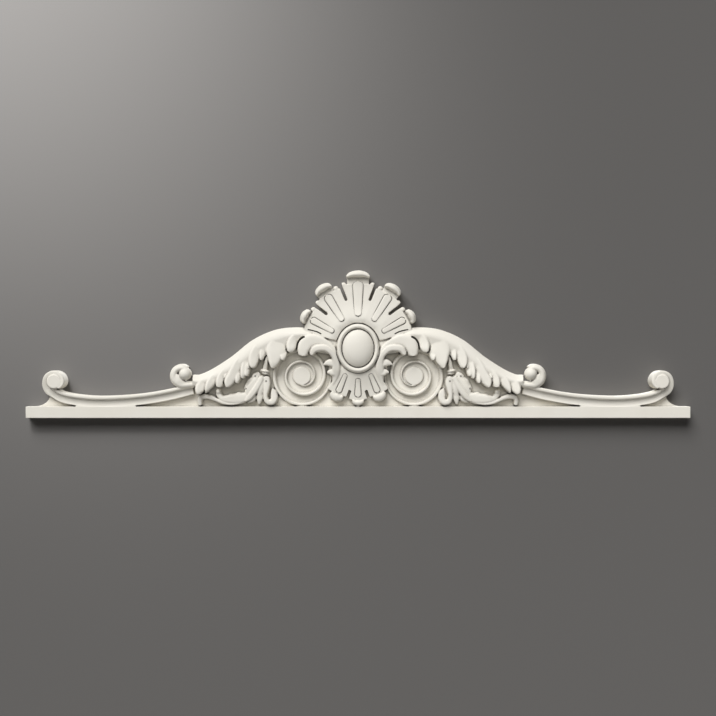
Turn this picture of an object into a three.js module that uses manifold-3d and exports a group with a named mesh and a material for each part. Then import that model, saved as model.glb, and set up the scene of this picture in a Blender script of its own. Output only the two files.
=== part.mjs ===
// Overdoor ornament: one casting that is fixed flat to the wall above a door. A straight rail carries
// a palmette with an oval boss, an acanthus wing and a volute on either side, and a band that sweeps
// out to a scroll near each end. Millimetres.
//
// The relief is drawn on a board: x runs right from the centre line, y up from the rail's underside and
// z out from the wall. The right half is drawn and mirrored. At the end the board is stood upright, so
// that the wall is the plane y = 0 and the front faces -y, with the origin at half the rail's height.
import * as THREE from "three";
import { mergeVertices } from "three/addons/utils/BufferGeometryUtils.js";
import Module from "manifold-3d";

const wasm = await Module();
wasm.setup();

// Rail and backing plate
const RAIL_LENGTH = 1335;
const RAIL_HEIGHT = 23;
const RAIL_DEPTH = 26;
const PLATE_DEPTH = 12;
const CAVETTO_WIDTH = 32;
const CAVETTO_INSET = 14;

// Feet of the carved forms: a form that shows against the wall starts behind it and is cut flush there,
// one that lies on the plate starts inside the plate
const BEHIND_WALL = -4;
const IN_PLATE = PLATE_DEPTH - 6;

// Sweeping band: a flat strip level with the rail's face and a bead along its upper side
const BAND_HALF_WIDTH = 7.4;
const BEAD_OFFSET = 12;
const BEAD_HALF_WIDTH = 4;
const BEAD_DEPTH = 32;

// Scroll at the end of the band
const SCROLL = new THREE.Vector2(608, 73.5);
const SCROLL_RADIUS = 22;
const SCROLL_LEAD_IN = 8;
const SCROLL_DEPTH = 40;
const SCROLL_EYE_RADIUS = 14.5;

// Wing, its fingers and the curl at its tail
const WING_EDGE = 28;
const WING_FRONT = 43;
const WING_RIB = 8;
const WING_WEB = 32;
const WING_ROLL = 28;
const FINGER_ROOT = 37;
const FINGER_FRONT = 45;
const FINGER_CROWN = 8;
const TAIL_RIDGE = 40;
const TAIL_BALL_RADIUS = 12.5;

// Curling leaf beside the ring
const INNER_LEAF_FOOT = 35;
const INNER_LEAF_RIDGE = 44;
const INNER_LEAF_RIM = 32;

// Volute beside the palmette, with its outer radius at quarter turns
const VOLUTE = new THREE.Vector2(113, 84.6);
const VOLUTE_RADII = [60.5, 58.5, 54.5, 48, 39.5, 34.5, 31, 27, 20, 17, 17, 17, 17];
const VOLUTE_DEPTH = 24;
const VOLUTE_RIM_LIFT = 4;
const VOLUTE_RISE = 4;
const VOLUTE_TURNS = 2;
const VOLUTE_STRETCH = 0.45;
const VOLUTE_EYE_RADIUS = 19;

// Hanging flower and tendrils
const FLOWER_RIDGE = 33;
const FLOWER_RIM = 21;
const COLLAR = [186.5, 93, 25];
const COLLAR_SIZE = [9, 4, 10];

// Oval boss and its rolled ring
const BOSS = new THREE.Vector2(0, 140);
const BOSS_HALF_WIDTH = 31.6;
const BOSS_HALF_HEIGHT = 38;
const BOSS_SEAT = 34;
const BOSS_DEPTH = 54;
const RING_HALF_WIDTH = 37.3;
const RING_HALF_HEIGHT = 43.3;
const RING_ROLL = 5.7;
const RING_LIFT = 10;
const RING_DEPTH = 46;

// Palmette rays, spread from one focus
const FOCUS = new THREE.Vector2(0, 146);
const RAY_ROOT = 40;
const RAY_CROWN = 1;
const RAY_LIP = 9;
const RAY_LIP_LIFT = 4;
const TONGUE_LIFT = 3;
const LOWER_RAYS_DROP = 6;

// Depth of the palmette from its root outward, at even steps: highest just outside the ring
const SHELL = [36, 42, 40, 36, 34.5, 34, 34];
const SHELL_STEP = 15;

// Centre lines of the band, from the wing's tail to the scroll, and of the wing's rib, from the palmette
const bandSpine = [[331, 55], [377, 43], [438, 33], [508, 28.5], [558, 31], [594, 38], [613, 49]];
const wingSpine = [
  [70, 160], [100, 172], [128, 174], [165, 169], [207, 150], [249, 117], [288, 92], [315, 80], [331, 79],
];

// A value spread evenly over a list, at share t of the way along
function spread(list, t) {
  const curve = new THREE.SplineCurve(list.map((value, i) => new THREE.Vector2(i, value)));
  return curve.getPoint(t).y;
}

function asPoints(list) {
  return list.map(([x, y]) => new THREE.Vector2(x, y));
}

// A point at a distance and an angle from a centre
function polar(centre, radius, angle) {
  return [centre.x + radius * Math.cos(angle), centre.y + radius * Math.sin(angle)];
}

// Depth of the palmette at a distance from its focus
function shell(radius) {
  return spread(SHELL, (radius - RAY_ROOT) / (SHELL_STEP * (SHELL.length - 1)));
}

const domed = (s) => Math.sqrt(1 - s * s);

// A body lofted along a spine on the board. The lists run from root to tip: half-widths to the left and
// to the right of the spine, height along it (ridge) and height of the rims (rim). The section gives the
// share of the way from rim to ridge at s, from -1 at the right rim to 1 at the left. The rows crowd
// towards the rims, and the steps towards a tip whose last share is rounded.
function leaf({
  spine,
  left,
  right = left,
  ridge,
  rim,
  foot = BEHIND_WALL,
  steps = 5,
  across = 2,
  rounded = 0,
  section = domed,
}) {
  const path = new THREE.SplineCurve(asPoints(spine));
  const body = new THREE.BoxGeometry(1, 2, 2, steps, across, 1);
  const corner = body.attributes.position;
  for (let i = 0; i < corner.count; i++) {
    const t = 1 - (0.5 - corner.getX(i)) ** (rounded ? 1.4 : 1);
    const s = Math.sin((corner.getY(i) * Math.PI) / 2);
    const nearTip = rounded ? Math.max(0, (t - 1 + rounded) / rounded) : 0;
    const half = spread(s > 0 ? left : right, t) * Math.sqrt(1 - nearTip ** 2);
    const along = path.getTangent(t);
    const point = path.getPoint(t).add(new THREE.Vector2(-along.y, along.x).multiplyScalar(s * half));
    const low = spread(rim, t);
    const top = low + (spread(ridge, t) - low) * section(s);
    corner.setXYZ(i, point.x, point.y, corner.getZ(i) > 0 ? top : foot);
  }
  return body;
}

// A flat piece with a drawn outline
function slab(outline, depth) {
  const body = new THREE.ExtrudeGeometry(outline, {
    depth: depth - BEHIND_WALL,
    bevelEnabled: false,
    curveSegments: 3,
  });
  return body.translate(0, 0, BEHIND_WALL);
}

// A ball squashed to three half-sizes and turned on the board
function ball([x, y, z], [halfX, halfY, halfZ], around = 10, turn = 0) {
  const body = new THREE.SphereGeometry(1, around, around / 2);
  return body.rotateX(Math.PI / 2).scale(halfX, halfY, halfZ).rotateZ(turn).translate(x, y, z);
}

// A round disc standing on the board
function disc(centre, radius, foot, depth) {
  const body = new THREE.CylinderGeometry(radius, radius, depth - foot, 18);
  return body.rotateX(Math.PI / 2).translate(centre.x, centre.y, (foot + depth) / 2);
}

// One closed solid from a geometry: shared corners are merged and faces that merging closed up dropped
function solid(geometry) {
  geometry.deleteAttribute("normal");
  geometry.deleteAttribute("uv");
  const merged = mergeVertices(geometry, 1e-3);
  const kept = [];
  for (let i = 0; i < merged.index.count; i += 3) {
    const face = [0, 1, 2].map((k) => merged.index.getX(i + k));
    if (new Set(face).size === 3) kept.push(...face);
  }
  const vertProperties = new Float32Array(merged.attributes.position.array);
  return new wasm.Manifold(
    new wasm.Mesh({ numProp: 3, vertProperties, triVerts: new Uint32Array(kept) }),
  );
}

function join(geometries) {
  return geometries.map(solid).reduce((whole, piece) => whole.add(piece));
}

function geometryOf(manifold) {
  const { vertProperties, triVerts } = manifold.getMesh();
  const geometry = new THREE.BufferGeometry();
  geometry.setAttribute("position", new THREE.BufferAttribute(vertProperties, 3));
  geometry.setIndex(new THREE.BufferAttribute(triVerts, 1));
  return geometry;
}

// The other half: x reversed, and each face turned so that it still looks outward
function mirrored(geometry) {
  const other = geometry.clone().scale(-1, 1, 1);
  const index = other.index;
  for (let i = 0; i < index.count; i += 3) {
    const first = index.getX(i);
    index.setX(i, index.getX(i + 1));
    index.setX(i + 1, first);
  }
  return other;
}

function rail() {
  const half = RAIL_LENGTH / 2;
  const corners = [[-half, 0], [half, 0], [half, RAIL_HEIGHT], [-half, RAIL_HEIGHT]];
  return slab(new THREE.Shape(asPoints(corners)), RAIL_DEPTH);
}

// Backing plate: it fills the field below the band and the wing, with a hollow quarter at its end
function plate() {
  const past = -2;
  const end = RAIL_LENGTH / 2 - CAVETTO_INSET;
  const reach = 2.1 * RAY_ROOT;
  const outline = new THREE.Shape();
  outline.moveTo(past, RAIL_HEIGHT / 2);
  outline.lineTo(end, RAIL_HEIGHT / 2);
  outline.lineTo(end, RAIL_HEIGHT);
  outline.absellipse(end, 2 * RAIL_HEIGHT, CAVETTO_WIDTH, RAIL_HEIGHT, -Math.PI / 2, Math.PI, true);
  outline.lineTo(SCROLL.x, SCROLL.y);
  outline.splineThru(asPoints(bandSpine.map(([x, y]) => [x, y + BEAD_OFFSET / 2])).reverse());
  outline.splineThru(asPoints(wingSpine).reverse());
  for (const degrees of [20, 40, 60, 80]) {
    outline.lineTo(...polar(FOCUS, reach, THREE.MathUtils.degToRad(degrees)));
  }
  outline.lineTo(past, FOCUS.y + reach);
  return slab(outline, PLATE_DEPTH);
}

// Band: from the wing's tail down to the rail, along it, and up to the scroll
function band() {
  const strip = leaf({
    spine: bandSpine,
    left: [4, BAND_HALF_WIDTH, BAND_HALF_WIDTH, BAND_HALF_WIDTH, BAND_HALF_WIDTH],
    ridge: [RAIL_DEPTH, RAIL_DEPTH],
    rim: [RAIL_DEPTH, RAIL_DEPTH],
    steps: 11,
    across: 1,
  });
  const bead = leaf({
    spine: bandSpine.map(([x, y]) => [x, y + BEAD_OFFSET]),
    left: [BEAD_HALF_WIDTH, BEAD_HALF_WIDTH],
    ridge: [BEAD_DEPTH, BEAD_DEPTH],
    rim: [RAIL_DEPTH, RAIL_DEPTH],
    steps: 11,
  });
  return [strip, bead];
}

// Scroll: the band's end wound up once about an eye, narrowing and rising as it winds
function scroll() {
  const middle = [[581, 36], [604, 43]];
  for (let degrees = -60; degrees <= 240; degrees += 30) {
    const wound = (degrees + 60) / 300;
    const outer = SCROLL_RADIUS + SCROLL_LEAD_IN * (1 - wound) ** 2;
    middle.push(polar(SCROLL, (outer + SCROLL_EYE_RADIUS) / 2 - 1, THREE.MathUtils.degToRad(degrees)));
  }
  const winding = leaf({
    spine: middle,
    left: [BAND_HALF_WIDTH, BAND_HALF_WIDTH, 6, 5, 4.5],
    ridge: [RAIL_DEPTH, RAIL_DEPTH, 34, 38, SCROLL_DEPTH],
    rim: [RAIL_DEPTH, RAIL_DEPTH, 32, 35, SCROLL_DEPTH - 3],
    steps: 11,
  });
  return [winding, disc(SCROLL, SCROLL_EYE_RADIUS, BEHIND_WALL, SCROLL_DEPTH)];
}

// Wing: a blade that rolls forward from its upper edge and sinks again behind the fingers along its
// lower edge, which end in tips
function wing() {
  const rolled = (s) => {
    const below = WING_RIB - (s > 0 ? WING_RIB : WING_WEB) * s;
    const sunk = (0.4 * (below - WING_ROLL)) / (WING_RIB + WING_WEB - WING_ROLL);
    return below < WING_ROLL ? 1 - (1 - below / WING_ROLL) ** 2 : 1 - sunk;
  };
  const blade = leaf({
    spine: wingSpine,
    left: [3, 7, WING_RIB, WING_RIB, WING_RIB, WING_RIB, WING_RIB, 7, 6],
    right: [10, 16, 22, WING_WEB, WING_WEB, WING_WEB, 24, 18, 12],
    ridge: [WING_FRONT - 4, WING_FRONT, WING_FRONT, WING_FRONT, WING_FRONT - 3],
    rim: [WING_EDGE, WING_EDGE],
    steps: 12,
    across: 4,
    section: rolled,
  });
  const fingers = [
    { spine: [[118, 169], [130, 159.5], [134, 144.5], [136, 132]], half: [4, 8.5, 10, 5.5] },
    { spine: [[154, 144.5], [150, 130.5], [150, 116]], half: [10, 8, 4] },
    { spine: [[162, 158.5], [164.5, 134.5], [167.5, 118.5], [171, 100]], half: [18, 20, 13.5, 3.5] },
    { spine: [[190, 146.5], [191.5, 130.5], [193, 116]], half: [7, 6, 3.5] },
    { spine: [[200, 148.5], [206.5, 126.5], [209.5, 112.5], [211, 100]], half: [8, 11, 10, 3] },
    { spine: [[220, 120.5], [221.5, 100.5], [223, 84]], half: [5, 5.5, 3] },
    { spine: [[222, 125.5], [227.5, 102.5], [230, 79.5]], half: [5.5, 6.5, 3] },
    { spine: [[237, 104.5], [239, 86.5], [242, 70]], half: [6.5, 6, 3] },
    { spine: [[235, 122.5], [244, 100.5], [254, 79.5], [260.5, 61.5]], half: [5, 9, 10.5, 3.5] },
    { spine: [[258, 104.5], [272, 84], [277, 62]], half: [5.5, 8, 6.5] },
    { spine: [[284, 88.5], [294, 71.5], [304, 50.5]], half: [7, 10, 3] },
    { spine: [[303, 78.5], [314, 62], [318, 49.5]], half: [8, 10.5, 8] },
    { spine: [[302, 80.5], [318, 80], [330, 79.5]], half: [7, 7.5, 8] },
  ];
  const leaves = fingers.map(({ spine, half }) =>
    leaf({
      spine,
      left: half,
      ridge: [FINGER_ROOT, FINGER_FRONT, FINGER_FRONT],
      rim: [FINGER_ROOT - FINGER_CROWN, FINGER_FRONT - FINGER_CROWN, FINGER_FRONT - FINGER_CROWN],
      steps: 4,
      across: 3,
      rounded: 0.1,
    }),
  );
  return [blade, ...leaves];
}

// Snail curl at the tail of the wing, wound about a ball
function tailCurl() {
  const curl = leaf({
    spine: [[320, 70], [338, 67], [354, 67], [366, 75], [369, 87], [364, 97], [353, 101], [344, 95]],
    left: [6, 7, 7.5, 8, 8, 7.5, 7.5, 8],
    ridge: [TAIL_RIDGE, TAIL_RIDGE],
    rim: [TAIL_RIDGE - 14, TAIL_RIDGE - 14],
    steps: 10,
  });
  return [curl, ball([346, 89, TAIL_RIDGE - 10], [TAIL_BALL_RADIUS, TAIL_BALL_RADIUS, 16])];
}

// Curling leaf between the wing and the ring, with its stem and two leaflets
function innerLeaf() {
  const parts = [
    {
      spine: [[41, 104.5], [48, 134.5], [72, 153.5], [98, 153.5], [108, 139.5], [110, 124.5]],
      half: [2.5, 5.5, 9, 14, 13, 9.5],
    },
    {
      spine: [[50, 66.5], [44, 94.5], [47, 122.5], [64, 140], [84, 139.5], [94, 126.5]],
      half: [2, 9, 6, 7, 7, 5],
      lifted: 3,
    },
    { spine: [[44, 109], [56, 111], [68.5, 107.5]], half: [8, 6, 2] },
    { spine: [[44, 92.5], [54, 92.5], [62, 91.5]], half: [8, 5.5, 2] },
  ];
  return parts.map(({ spine, half, lifted = 0 }) =>
    leaf({
      spine,
      left: half,
      ridge: [INNER_LEAF_FOOT, INNER_LEAF_RIDGE + lifted, INNER_LEAF_RIDGE + lifted],
      rim: [INNER_LEAF_RIM, INNER_LEAF_RIM],
      steps: Math.ceil(1.5 * (spine.length - 1)),
      rounded: 0.1,
    }),
  );
}

// Volute: a ribbon with a raised rim, wound inward and upward to a flat eye, in overlapping stretches
function volute() {
  const rimAndChannel = (s) => (s < -0.9 ? 1 : 0.3 * s * s);
  const outerRadius = (turns) => spread(VOLUTE_RADII, Math.max(0, (4 * turns) / (VOLUTE_RADII.length - 1)));
  const overlap = 0.02;
  const stretches = [];
  for (let start = -0.25; start < VOLUTE_TURNS; start += VOLUTE_STRETCH) {
    const turns = [0, 0.25, 0.5, 0.75, 1].map((share) => start + share * (VOLUTE_STRETCH + overlap));
    const halves = turns.map((turn) => (outerRadius(turn) - outerRadius(turn + 1)) / 2);
    const heights = turns.map((turn) => VOLUTE_DEPTH + VOLUTE_RISE * turn);
    stretches.push(
      leaf({
        spine: turns.map((turn, i) =>
          polar(VOLUTE, outerRadius(turn) - halves[i], Math.PI * (2 * turn - 0.5)),
        ),
        left: halves.map((half) => half + 1),
        right: halves,
        ridge: heights,
        rim: heights.map((height) => height - VOLUTE_RIM_LIFT),
        foot: IN_PLATE,
        steps: 6,
        across: 3,
        section: rimAndChannel,
      }),
    );
  }
  const eyeDepth = VOLUTE_DEPTH + VOLUTE_RISE * VOLUTE_TURNS;
  return [...stretches, disc(VOLUTE, VOLUTE_EYE_RADIUS, IN_PLATE, eyeDepth)];
}

// Flower hanging under the wing by a stalk and a collar, with two tendrils
function flower() {
  const parts = [
    { spine: [[182, 124.5], [187, 96.5]], half: [3, 4.5] },
    { spine: [[188, 84.5], [202, 60.5], [212, 44.5]], half: [10, 16, 12], lowered: 6 },
    { spine: [[198, 88.5], [208, 77.5], [218, 59.5], [225, 36.5]], half: [5.5, 8.5, 10.5, 3], lowered: 3 },
    { spine: [[192, 83.5], [199, 68.5], [213, 47.5], [226.5, 34]], half: [5, 6, 6.5, 2] },
    { spine: [[191.5, 80.5], [195, 60.5], [198, 44]], half: [3.5, 6, 4.5] },
    { spine: [[195, 58.5], [197, 40.5], [199, 28]], half: [7, 7, 2], lowered: 3 },
    {
      spine: [[185, 84.5], [183, 66.5], [186, 44.5], [181, 33.5], [172, 32.5], [168, 42.5], [172, 60]],
      half: [6, 7, 5, 5.5, 6, 6.5, 1.5],
    },
    { spine: [[224, 43.5], [243, 38.5], [263, 38], [276, 42.5], [280.5, 56.5]], half: [9, 11, 8, 5, 5] },
    {
      spine: [[244, 28], [272, 31.5], [300, 42.5], [315, 41.5], [318, 34.5], [316, 25.5]],
      half: [2, 3, 5, 5, 4.5, 4],
    },
  ];
  const leaves = parts.map(({ spine, half, lowered = 0 }) =>
    leaf({
      spine,
      left: half,
      ridge: [FLOWER_RIDGE - lowered, FLOWER_RIDGE - lowered, FLOWER_RIDGE - 5 - lowered],
      rim: [FLOWER_RIM, FLOWER_RIM],
      foot: IN_PLATE,
      steps: Math.ceil(1.5 * (spine.length - 1)),
      rounded: 0.08,
    }),
  );
  return [...leaves, ball(COLLAR, COLLAR_SIZE)];
}

// One ray of a palmette: a blade that widens to square shoulders, a neck that ends in a rolled lip, and
// a raised tongue down the middle
function ray({ degrees, halfWidths, shoulder, tip, lip, tongue, lowered = 0 }) {
  const angle = THREE.MathUtils.degToRad(degrees);
  const line = (from, to) => [polar(FOCUS, from, angle), polar(FOCUS, to, angle)];
  const depths = (from, to, lift) =>
    [0, 0.25, 0.5, 0.75, 1].map((share) => shell(from + share * (to - from)) + lift - lowered);
  const outer = shell(shoulder) - lowered;
  const blade = leaf({
    spine: line(RAY_ROOT, shoulder),
    left: halfWidths,
    ridge: depths(RAY_ROOT, shoulder, 0),
    rim: depths(RAY_ROOT, shoulder, -RAY_CROWN),
    steps: 4,
    across: 3,
  });
  const neck = leaf({
    spine: line(shoulder * 0.8, tip - RAY_LIP),
    left: [lip * 0.9, lip * 0.9],
    ridge: [outer - 1, outer - 1],
    rim: [outer - 2, outer - 2],
    steps: 1,
  });
  const raised = leaf({
    spine: line(tongue.from, tongue.to),
    left: [tongue.half * 0.7, tongue.half],
    ridge: depths(tongue.from, tongue.to, TONGUE_LIFT),
    rim: depths(tongue.from, tongue.to, TONGUE_LIFT - 1),
    foot: IN_PLATE,
    steps: 4,
    rounded: 0.12,
  });
  const lipPlace = [...polar(FOCUS, tip - RAY_LIP, angle), outer + RAY_LIP_LIFT];
  const rolled = ball(lipPlace, [RAY_LIP, lip, RAY_LIP], 10, angle);
  return [blade, neck, raised, rolled];
}

function centreRays() {
  return [
    ray({
      degrees: 90,
      halfWidths: [12, 20, 27, 33],
      shoulder: 123,
      tip: 150,
      lip: 23.5,
      tongue: { from: 57, to: 127, half: 8.2 },
    }),
    ray({
      degrees: -90,
      halfWidths: [8, 12, 16, 19],
      shoulder: 110,
      tip: 120,
      lip: 12,
      tongue: { from: 64, to: 109, half: 5.6 },
      lowered: LOWER_RAYS_DROP,
    }),
  ].flat();
}

function sideRays() {
  return [
    ray({
      degrees: 58,
      halfWidths: [12, 20, 26, 28],
      shoulder: 119,
      tip: 140,
      lip: 18,
      tongue: { from: 56, to: 119, half: 6.5 },
    }),
    ray({
      degrees: 30,
      halfWidths: [10.5, 17, 22, 23],
      shoulder: 112,
      tip: 127,
      lip: 15,
      tongue: { from: 55, to: 107, half: 5.5 },
    }),
    ray({
      degrees: -68,
      halfWidths: [10, 14, 18, 20],
      shoulder: 104,
      tip: 119,
      lip: 15,
      tongue: { from: 62, to: 103, half: 5.4 },
      lowered: LOWER_RAYS_DROP,
    }),
  ].flat();
}

// Oval boss in a rolled ring
function boss() {
  const tube = 0.25;
  const ring = new THREE.TorusGeometry(1, tube, 5, 22);
  const corner = ring.attributes.position;
  for (let i = 0; i < corner.count; i++) {
    const angle = Math.atan2(corner.getY(i), corner.getX(i));
    const out = ((Math.hypot(corner.getX(i), corner.getY(i)) - 1) / tube) * RING_ROLL;
    const x = (RING_HALF_WIDTH + out) * Math.cos(angle);
    const y = (RING_HALF_HEIGHT + out) * Math.sin(angle);
    const z = RING_DEPTH + (corner.getZ(i) / tube - 1) * RING_LIFT;
    corner.setXYZ(i, BOSS.x + x, BOSS.y + y, z);
  }
  const seat = disc(BOSS, BOSS_HALF_WIDTH + RING_ROLL, IN_PLATE, BOSS_SEAT);
  const sizes = [BOSS_HALF_WIDTH, BOSS_HALF_HEIGHT, BOSS_DEPTH - BOSS_SEAT];
  return [ring, seat, ball([BOSS.x, BOSS.y, BOSS_SEAT], sizes, 16)];
}

const half = join([
  plate(),
  ...band(),
  ...scroll(),
  ...wing(),
  ...tailCurl(),
  ...innerLeaf(),
  ...volute(),
  ...flower(),
  ...sideRays(),
]);
const otherHalf = solid(mirrored(geometryOf(half)));
const wall = new THREE.BoxGeometry(2 * RAIL_LENGTH, 2 * RAIL_LENGTH, 100).translate(0, 0, -50);
const casting = join([rail(), ...centreRays(), ...boss()])
  .add(half)
  .add(otherHalf)
  .subtract(solid(wall));

const upright = geometryOf(casting).translate(0, -RAIL_HEIGHT / 2, 0).rotateX(Math.PI / 2);
upright.computeVertexNormals();

const paint = new THREE.MeshStandardMaterial({ color: 0xe9e5da, roughness: 0.75, metalness: 0 });
const ornament = new THREE.Mesh(upright, paint);
ornament.name = "overdoor_ornament";

const part = new THREE.Group();
part.add(ornament);
export default part;
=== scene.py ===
# %% [markdown]
# An overdoor ornament is a flat-backed relief that is fixed to the wall above a door. The real one is a
# single casting, painted a matte off-white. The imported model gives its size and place; this lesson
# models the same relief at a finer grain, paints it, lights it and sets up a camera in front of it.

# %% Load the frame
import math

import bmesh
import bpy
from mathutils import Matrix, Vector


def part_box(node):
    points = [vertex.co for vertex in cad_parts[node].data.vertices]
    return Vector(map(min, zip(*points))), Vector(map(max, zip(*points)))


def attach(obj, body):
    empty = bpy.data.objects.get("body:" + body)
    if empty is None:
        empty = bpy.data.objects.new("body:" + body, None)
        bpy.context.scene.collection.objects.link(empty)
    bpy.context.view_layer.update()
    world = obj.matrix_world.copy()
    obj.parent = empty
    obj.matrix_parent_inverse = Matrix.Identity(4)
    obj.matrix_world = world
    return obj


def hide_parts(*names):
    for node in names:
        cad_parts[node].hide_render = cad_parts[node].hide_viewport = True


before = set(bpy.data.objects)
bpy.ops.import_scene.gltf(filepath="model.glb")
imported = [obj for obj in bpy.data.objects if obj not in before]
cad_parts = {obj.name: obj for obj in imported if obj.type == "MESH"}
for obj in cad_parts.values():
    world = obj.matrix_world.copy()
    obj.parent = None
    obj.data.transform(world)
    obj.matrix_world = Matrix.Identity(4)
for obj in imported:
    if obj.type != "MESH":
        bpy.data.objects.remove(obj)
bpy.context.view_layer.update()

NODE = "overdoor_ornament"
low, high = (Vector(corner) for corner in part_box(NODE))
print("the casting measures, in metres:", [round(side, 4) for side in high - low])

# %% [markdown]
# A carver draws a relief on a board before cutting it, and the model is drawn the same way: x runs right
# from the centre line, y up from the rail's underside, and depth out from the wall, all in millimetres.
# One function stands a board point upright in the frame, so the drawing stays readable and the sizes
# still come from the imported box.

# %% The drawing board
RAIL_LENGTH = 1335
MM = (high.x - low.x) / RAIL_LENGTH
WALL = high.y
UNDERSIDE = low.z


def upright(x, y, depth):
    return Vector((x * MM, WALL - depth * MM, UNDERSIDE + y * MM))


print("one board millimetre is", round(MM * 1000, 4), "mm in the frame")

# %% [markdown]
# Nearly every form here is a leaf of some kind: it follows a curved spine and swells between two rims.
# Spines, widths and depths could be long lists of points, but a few values and a smooth curve through
# them are easier to correct. A section says how a leaf swells: s is 1 at the left rim, looking along the
# spine, 0 on the ridge and -1 at the right rim.

# %% Curves and sections
def along(values, share):
    """A smooth value at a share of the way through an evenly spread list of numbers or points."""
    last = len(values) - 1
    place = min(max(share, 0.0), 1.0) * last
    i = min(int(place), last - 1)
    u = place - i
    a, b, c, d = (values[min(max(k, 0), last)] for k in range(i - 1, i + 3))
    return b + 0.5 * u * ((c - a) + u * ((2 * a - 5 * b + 4 * c - d) + u * (3 * (b - c) + d - a)))


def swell(s):
    """Round, like a quarter of a circle on each side of the ridge."""
    return math.sqrt(max(0.0, 1 - s * s))


def broad(s):
    """Rounded at the rims and nearly flat over the middle."""
    return max(0.0, 1 - s ** 4) ** 0.5


def flat(s):
    """Flat, with a small round at the rims."""
    return max(0.0, 1 - s ** 8) ** 0.5


print("halfway to the rim the sections keep", [round(form(0.5), 3) for form in (swell, broad, flat)])

# %% [markdown]
# One function does most of the carving. It starts from a flat grid, bends the grid along the spine,
# lifts the middle above the rims, and then pulls the grid's border back to a foot behind the wall and
# closes it, so that each leaf is a closed lump of clay. The clay holds the right half only, because the
# two halves mirror each other.

# %% A leaf of clay
BEHIND_WALL = -3
LOOK_AHEAD = 0.002
TIP_CROWDING = 1.5


def leaf(
    clay, spine, half, ridge, rim,
    right=None, foot=BEHIND_WALL, steps=24, across=12, tip=0.0, root=0.0, section=broad,
):
    """Half widths count on both sides, unless right gives others; tip and root are rounded shares."""
    path = [Vector(point) for point in spine]
    crowding = TIP_CROWDING if tip else 1.0
    grid = bmesh.ops.create_grid(clay, x_segments=steps, y_segments=across, size=1.0)["verts"]
    for vert in grid:
        share = 1 - ((1 - vert.co.x) / 2) ** crowding
        s = math.sin(vert.co.y * math.pi / 2)
        ahead = along(path, share + LOOK_AHEAD) - along(path, share - LOOK_AHEAD)
        side = Vector((-ahead.y, ahead.x)).normalized()
        width = along(half if s > 0 or right is None else right, share)
        if tip and share > 1 - tip:
            width *= swell((share - 1 + tip) / tip)
        if root and share < root:
            width *= swell(1 - share / root)
        lowest = along(rim, share)
        depth = lowest + (along(ridge, share) - lowest) * section(s)
        x, y = along(path, share) + side * (s * width)
        vert.co = upright(x, y, depth)
    # A dict keeps the edges in order, where a set would shuffle them from run to run.
    border = dict.fromkeys(edge for vert in grid for edge in vert.link_edges if edge.is_boundary)
    skirt = bmesh.ops.extrude_edge_only(clay, edges=list(border))["geom"]
    for vert in skirt:
        if isinstance(vert, bmesh.types.BMVert):
            vert.co.y = WALL - foot * MM
    hem = [edge for edge in skirt if isinstance(edge, bmesh.types.BMEdge) and edge.is_boundary]
    bmesh.ops.edgeloop_fill(clay, edges=hem)


relief = bmesh.new()
print("the clay starts with", len(relief.verts), "vertices")

# %% [markdown]
# The backing plate is the flat field that shows between the leaves. Its upper border hides under the
# band, the wing and the palmette, so it only needs a simple outline: a few vertices, one face, and an
# extrusion to its depth. A hollow quarter round, a cavetto, leads from the rail's end up to the scroll.

# %% The plate's outline
RAIL_HEIGHT = 23
PLATE_END = RAIL_LENGTH / 2 - 14
PLATE_RADIUS = 84
PAST_CENTRE = -2
CAVETTO = (32, RAIL_HEIGHT)
BEAD_OFFSET = 12
FOCUS = (0, 146)
SCROLL = (608, 73.5)
BAND_SPINE = [(331, 55), (377, 43), (438, 33), (508, 28.5), (558, 31), (594, 38), (613, 49)]
WING_SPINE = [
    (70, 160), (100, 172), (128, 174), (165, 169), (207, 150), (249, 117), (288, 92), (315, 80), (331, 79),
]


def polar(centre, radius, degrees):
    angle = math.radians(degrees)
    return (centre[0] + radius * math.cos(angle), centre[1] + radius * math.sin(angle))


def backward(spine, pieces):
    """Even points along a spine, from its end to its start."""
    path = [Vector(point) for point in spine]
    return [along(path, share / pieces) for share in range(pieces, -1, -1)]


outline = [(PAST_CENTRE, RAIL_HEIGHT / 2), (PLATE_END, RAIL_HEIGHT / 2)]
across, up = CAVETTO
for degrees in range(270, 179, -10):
    turn = math.radians(degrees)
    outline.append((PLATE_END + across * math.cos(turn), RAIL_HEIGHT + up + up * math.sin(turn)))
outline.append(SCROLL)
outline += [(x, y + BEAD_OFFSET) for x, y in backward(BAND_SPINE, pieces=12)]
outline += [tuple(point) for point in backward(WING_SPINE, pieces=16)]
outline += [polar(FOCUS, PLATE_RADIUS, degrees) for degrees in range(20, 81, 15)]
outline.append((PAST_CENTRE, FOCUS[1] + PLATE_RADIUS))
print("the plate's outline has", len(outline), "points")

# %% [markdown]
# The outline becomes a slab. It starts behind the wall, because the back of the whole casting is cut
# flat at the end, and it reaches a little past the centre line so that the two halves overlap.

# %% Backing plate
PLATE_DEPTH = 12


def slab(clay, corners, foot, depth):
    face = clay.faces.new([clay.verts.new(upright(x, y, foot)) for x, y in corners])
    lifted = bmesh.ops.extrude_face_region(clay, geom=[face])["geom"]
    for vert in lifted:
        if isinstance(vert, bmesh.types.BMVert):
            vert.co.y = WALL - depth * MM


slab(relief, outline, BEHIND_WALL, PLATE_DEPTH)
print("the plate stands", PLATE_DEPTH, "mm off the wall")

# %% [markdown]
# The band is a flat strip that leaves the wing's tail, runs into the rail and climbs to the scroll. A
# rounded bead follows its upper side. Both are leaves without a tip: the strip a little hollow across,
# the bead raised.

# %% Band and bead
RAIL_DEPTH = 26
BAND_HALF = 6.8
BAND_HOLLOW = 1.5
BEAD_HALF = 4
BEAD_DEPTH = 32


def hollowed(s):
    """High at the rims, sinking between them."""
    return s * s


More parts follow.
